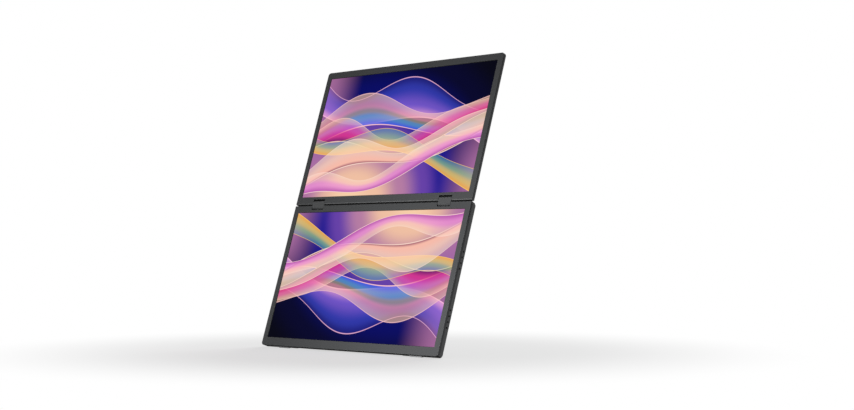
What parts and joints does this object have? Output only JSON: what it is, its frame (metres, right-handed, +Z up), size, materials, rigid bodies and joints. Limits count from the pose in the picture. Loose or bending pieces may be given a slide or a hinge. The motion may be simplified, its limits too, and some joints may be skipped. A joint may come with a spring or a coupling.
{
  "type": "dual portable monitor",
  "caption": "Pair of thin stacked screens joined by geared links along one long edge, leaning back on a fold-out stand in the lower casing.",
  "frame": {"origin": "on the desk, at the middle of the footprint of the stacked screens as they lean in use", "axes": "+X to the viewer's right along the hinge line, +Y away from the viewer, +Z up; the screens face -Y"},
  "size_m": [0.363, 0.1374, 0.4151],
  "materials": {
    "graphite_plastic": "fine matte grain",
    "graphite_casing": "dark anodised, matte",
    "stand_plate": "dark anodised, matte",
    "screen_glass": "lit picture behind satin glass",
    "backlight_plastic": "white light guide",
    "circuit_board": "green solder mask",
    "port_metal": "drawn nickel steel",
    "rubber_feet": "matte grey rubber",
    "hinge_steel": "ground steel",
    "black_plastic": "plain black",
    "link_plastic": "fine matte grain",
    "button_plastic": "smooth black"
  },
  "bodies": {
    "lower_display": {"lower_bezel": "graphite_plastic", "lower_back_cover": "graphite_casing", "lower_lcd_panel": "screen_glass", "lower_backlight": "backlight_plastic", "lower_driver_board": "circuit_board", "main_board": "circuit_board", "mini_hdmi_port": "port_metal", "usb_c_port_upper": "port_metal", "usb_c_port_lower": "port_metal", "upper_screen_button_board": "circuit_board", "lower_screen_button_board": "circuit_board", "back_feet": "rubber_feet", "base_pads": "rubber_feet", "lower_screws": "hinge_steel", "left_speaker": "black_plastic", "left_lower_leaf": "hinge_steel", "left_lower_shaft": "hinge_steel", "left_stand_hinge": "hinge_steel", "right_speaker": "black_plastic", "right_lower_leaf": "hinge_steel", "right_lower_shaft": "hinge_steel", "right_stand_hinge": "hinge_steel"},
    "hinge_links": {"left_link_front_cover": "link_plastic", "left_link_back_cover": "link_plastic", "left_link_plates": "hinge_steel", "left_friction_curl": "hinge_steel", "right_link_front_cover": "link_plastic", "right_link_back_cover": "link_plastic", "right_link_plates": "hinge_steel", "right_friction_curl": "hinge_steel"},
    "upper_display": {"upper_bezel": "graphite_plastic", "upper_back_cover": "graphite_casing", "upper_lcd_panel": "screen_glass", "upper_backlight": "backlight_plastic", "upper_driver_board": "circuit_board", "upper_screws": "hinge_steel", "left_upper_leaf": "hinge_steel", "left_upper_shaft": "hinge_steel", "right_upper_leaf": "hinge_steel", "right_upper_shaft": "hinge_steel"},
    "lower_idlers": {"left_lower_idler": "hinge_steel", "right_lower_idler": "hinge_steel"},
    "upper_idlers": {"left_upper_idler": "hinge_steel", "right_upper_idler": "hinge_steel"},
    "kickstand": {"kickstand_plate": "stand_plate", "kickstand_strip": "rubber_feet", "left_stand_pin": "hinge_steel", "right_stand_pin": "hinge_steel"},
    "upper_screen_power_button": {"upper_screen_power_button": "button_plastic"},
    "upper_screen_menu_button": {"upper_screen_menu_button": "button_plastic"},
    "upper_screen_plus_button": {"upper_screen_plus_button": "button_plastic"},
    "upper_screen_minus_button": {"upper_screen_minus_button": "button_plastic"},
    "lower_screen_power_button": {"lower_screen_power_button": "button_plastic"},
    "lower_screen_menu_button": {"lower_screen_menu_button": "button_plastic"},
    "lower_screen_plus_button": {"lower_screen_plus_button": "button_plastic"},
    "lower_screen_minus_button": {"lower_screen_minus_button": "button_plastic"}
  },
  "joints": [
    {"name": "lower_hinge", "type": "hinge", "parent": "lower_display", "child": "hinge_links", "pos_m": [0, -0.00061, 0.20595], "axis": [1, 0, 0], "range_deg": [-67.5, 90]},
    {"name": "upper_hinge", "type": "hinge", "parent": "hinge_links", "child": "upper_display", "pos_m": [0, 0.00154, 0.21261], "axis": [1, 0, 0], "range_deg": [-67.5, 90]},
    {"name": "lower_idler_turn", "type": "hinge", "parent": "hinge_links", "child": "lower_idlers", "pos_m": [0, 0.00011, 0.20817], "axis": [1, 0, 0], "range_deg": [-67.5, 90]},
    {"name": "upper_idler_turn", "type": "hinge", "parent": "hinge_links", "child": "upper_idlers", "pos_m": [0, 0.00082, 0.21039], "axis": [1, 0, 0], "range_deg": [-90, 67.5]},
    {"name": "kickstand_hinge", "type": "hinge", "parent": "lower_display", "child": "kickstand", "pos_m": [0, -0.02475, 0.11108], "axis": [1, 0, 0], "range_deg": [-34.68, 40.32]},
    {"name": "upper_screen_power_button_press", "type": "slide", "parent": "lower_display", "child": "upper_screen_power_button", "axis": [-1, 0, 0], "range_m": [0, 0.0004], "stiffness_N_per_m": 400},
    {"name": "upper_screen_menu_button_press", "type": "slide", "parent": "lower_display", "child": "upper_screen_menu_button", "axis": [-1, 0, 0], "range_m": [0, 0.0004], "stiffness_N_per_m": 400},
    {"name": "upper_screen_plus_button_press", "type": "slide", "parent": "lower_display", "child": "upper_screen_plus_button", "axis": [-1, 0, 0], "range_m": [0, 0.0004], "stiffness_N_per_m": 400},
    {"name": "upper_screen_minus_button_press", "type": "slide", "parent": "lower_display", "child": "upper_screen_minus_button", "axis": [-1, 0, 0], "range_m": [0, 0.0004], "stiffness_N_per_m": 400},
    {"name": "lower_screen_power_button_press", "type": "slide", "parent": "lower_display", "child": "lower_screen_power_button", "axis": [-1, 0, 0], "range_m": [0, 0.0004], "stiffness_N_per_m": 400},
    {"name": "lower_screen_menu_button_press", "type": "slide", "parent": "lower_display", "child": "lower_screen_menu_button", "axis": [-1, 0, 0], "range_m": [0, 0.0004], "stiffness_N_per_m": 400},
    {"name": "lower_screen_plus_button_press", "type": "slide", "parent": "lower_display", "child": "lower_screen_plus_button", "axis": [-1, 0, 0], "range_m": [0, 0.0004], "stiffness_N_per_m": 400},
    {"name": "lower_screen_minus_button_press", "type": "slide", "parent": "lower_display", "child": "lower_screen_minus_button", "axis": [-1, 0, 0], "range_m": [0, 0.0004], "stiffness_N_per_m": 400}
  ],
  "couplings": [
    {"joint": "lower_hinge", "follows": "upper_hinge", "ratio": 1},
    {"joint": "lower_idler_turn", "follows": "upper_hinge", "ratio": 1},
    {"joint": "upper_idler_turn", "follows": "upper_hinge", "ratio": -1}
  ]
}
